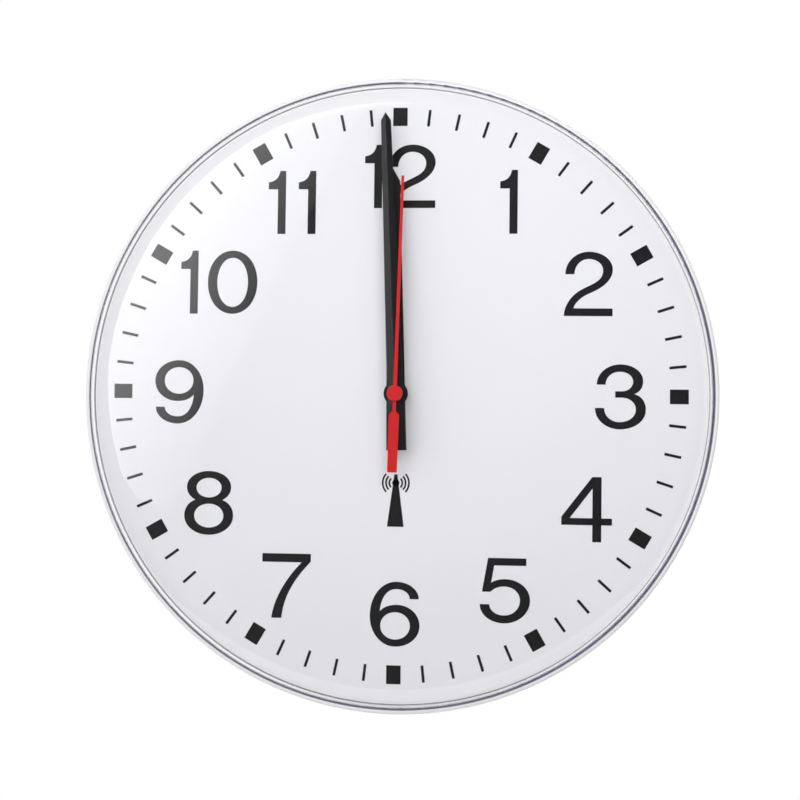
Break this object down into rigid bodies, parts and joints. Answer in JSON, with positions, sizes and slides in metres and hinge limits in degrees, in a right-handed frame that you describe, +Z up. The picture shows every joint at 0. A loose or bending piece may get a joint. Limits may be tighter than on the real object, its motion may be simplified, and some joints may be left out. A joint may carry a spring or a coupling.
{
  "type": "radio-controlled wall clock",
  "caption": "Round white wall clock with a clear domed cover, numbered dial, black hour and minute hands, a red second hand and a battery quartz movement on its open back.",
  "frame": {"origin": "the hanging point: the centre of the keyhole slot's upper end, in the plane of the wall", "axes": "+Z up, +X to the right of someone who reads the dial, +Y into the wall, so the dial faces -Y"},
  "size_m": [0.3, 0.043, 0.3],
  "materials": {
    "white_plastic": "moulded, half gloss",
    "clear_plastic": "clear moulded plastic, polished",
    "dial_sheet": "printed sheet, matt",
    "black_print": "printed ink",
    "black_hand": "satin black paint on aluminium",
    "red_hand": "red paint on aluminium",
    "brass": "plain",
    "black_rubber": "matt",
    "black_plastic": "moulded, fine grain",
    "steel": "plated",
    "natural_plastic": "unpainted acetal",
    "magnet": "sintered magnet on a moulded pinion",
    "red_plastic": "acetal",
    "lamination_steel": "punched sheet",
    "green_plastic": "moulded",
    "copper_wire": "enamelled winding",
    "ferrite": "sintered rod",
    "board_green": "solder mask",
    "grey_plastic": "moulded",
    "battery_sleeve": "plain sleeve"
  },
  "bodies": {
    "clock": {"case": "white_plastic", "hanger_plate": "steel", "hanger_screws": "steel", "front_cover": "clear_plastic", "dial": "dial_sheet", "dial_marks": "black_print", "dial_washer": "brass", "hex_nut": "brass", "rubber_washer": "black_rubber", "movement_housing": "black_plastic", "movement_rear_cover": "black_plastic", "cover_screws": "steel", "train_bridge": "natural_plastic", "stator": "lamination_steel", "coil_core": "lamination_steel", "coil_bobbin": "green_plastic", "coil_winding": "copper_wire", "aerial_rod": "ferrite", "aerial_coil": "copper_wire", "circuit_board": "board_green", "clock_chip": "black_plastic", "quartz_crystals": "steel", "position_sensor": "natural_plastic", "push_switches": "steel", "battery": "battery_sleeve", "positive_contact": "steel", "negative_contact": "steel"},
    "second_hand": {"seconds_wheel": "red_plastic", "second_hand": "red_hand", "second_hand_cap": "red_hand"},
    "minute_hand": {"centre_wheel": "natural_plastic", "minute_hand": "black_hand"},
    "hour_hand": {"hour_wheel": "natural_plastic", "hour_hand": "black_hand"},
    "third_wheel": {"third_wheel": "natural_plastic"},
    "intermediate_wheel": {"intermediate_wheel": "natural_plastic"},
    "rotor": {"rotor": "magnet"},
    "minute_wheel": {"minute_wheel": "natural_plastic"},
    "reset_button": {"reset_button": "grey_plastic"},
    "wave_button": {"wave_button": "grey_plastic"},
    "set_button": {"set_button": "grey_plastic"}
  },
  "joints": [
    {"name": "second_hand_turn", "type": "hinge", "parent": "clock", "child": "second_hand", "pos_m": [0, -0.015, -0.114], "axis": [0, 1, 0], "continuous": true},
    {"name": "minute_hand_turn", "type": "hinge", "parent": "clock", "child": "minute_hand", "pos_m": [0, -0.015, -0.114], "axis": [0, 1, 0], "continuous": true},
    {"name": "hour_hand_turn", "type": "hinge", "parent": "clock", "child": "hour_hand", "pos_m": [0, -0.015, -0.114], "axis": [0, 1, 0], "continuous": true},
    {"name": "third_wheel_turn", "type": "hinge", "parent": "clock", "child": "third_wheel", "pos_m": [0.00924, -0.015, -0.10969], "axis": [0, 1, 0], "continuous": true},
    {"name": "intermediate_wheel_turn", "type": "hinge", "parent": "clock", "child": "intermediate_wheel", "pos_m": [-0.00886, -0.015, -0.11556], "axis": [0, 1, 0], "continuous": true},
    {"name": "rotor_turn", "type": "hinge", "parent": "clock", "child": "rotor", "pos_m": [-0.01653, -0.015, -0.11835], "axis": [0, 1, 0], "continuous": true},
    {"name": "minute_wheel_turn", "type": "hinge", "parent": "clock", "child": "minute_wheel", "pos_m": [-0.00338, -0.015, -0.10675], "axis": [0, 1, 0], "continuous": true},
    {"name": "reset_button_press", "type": "slide", "parent": "clock", "child": "reset_button", "axis": [0, -1, 0], "range_m": [0, 0.0004], "stiffness_N_per_m": 300},
    {"name": "wave_button_press", "type": "slide", "parent": "clock", "child": "wave_button", "axis": [0, -1, 0], "range_m": [0, 0.0004], "stiffness_N_per_m": 300},
    {"name": "set_button_press", "type": "slide", "parent": "clock", "child": "set_button", "axis": [0, -1, 0], "range_m": [0, 0.0004], "stiffness_N_per_m": 300}
  ],
  "couplings": [
    {"joint": "rotor_turn", "follows": "second_hand_turn", "ratio": 30},
    {"joint": "intermediate_wheel_turn", "follows": "second_hand_turn", "ratio": -4},
    {"joint": "third_wheel_turn", "follows": "second_hand_turn", "ratio": -0.13333},
    {"joint": "minute_hand_turn", "follows": "second_hand_turn", "ratio": 0.016667},
    {"joint": "minute_wheel_turn", "follows": "second_hand_turn", "ratio": -0.0055556},
    {"joint": "hour_hand_turn", "follows": "second_hand_turn", "ratio": 0.0013889}
  ]
}
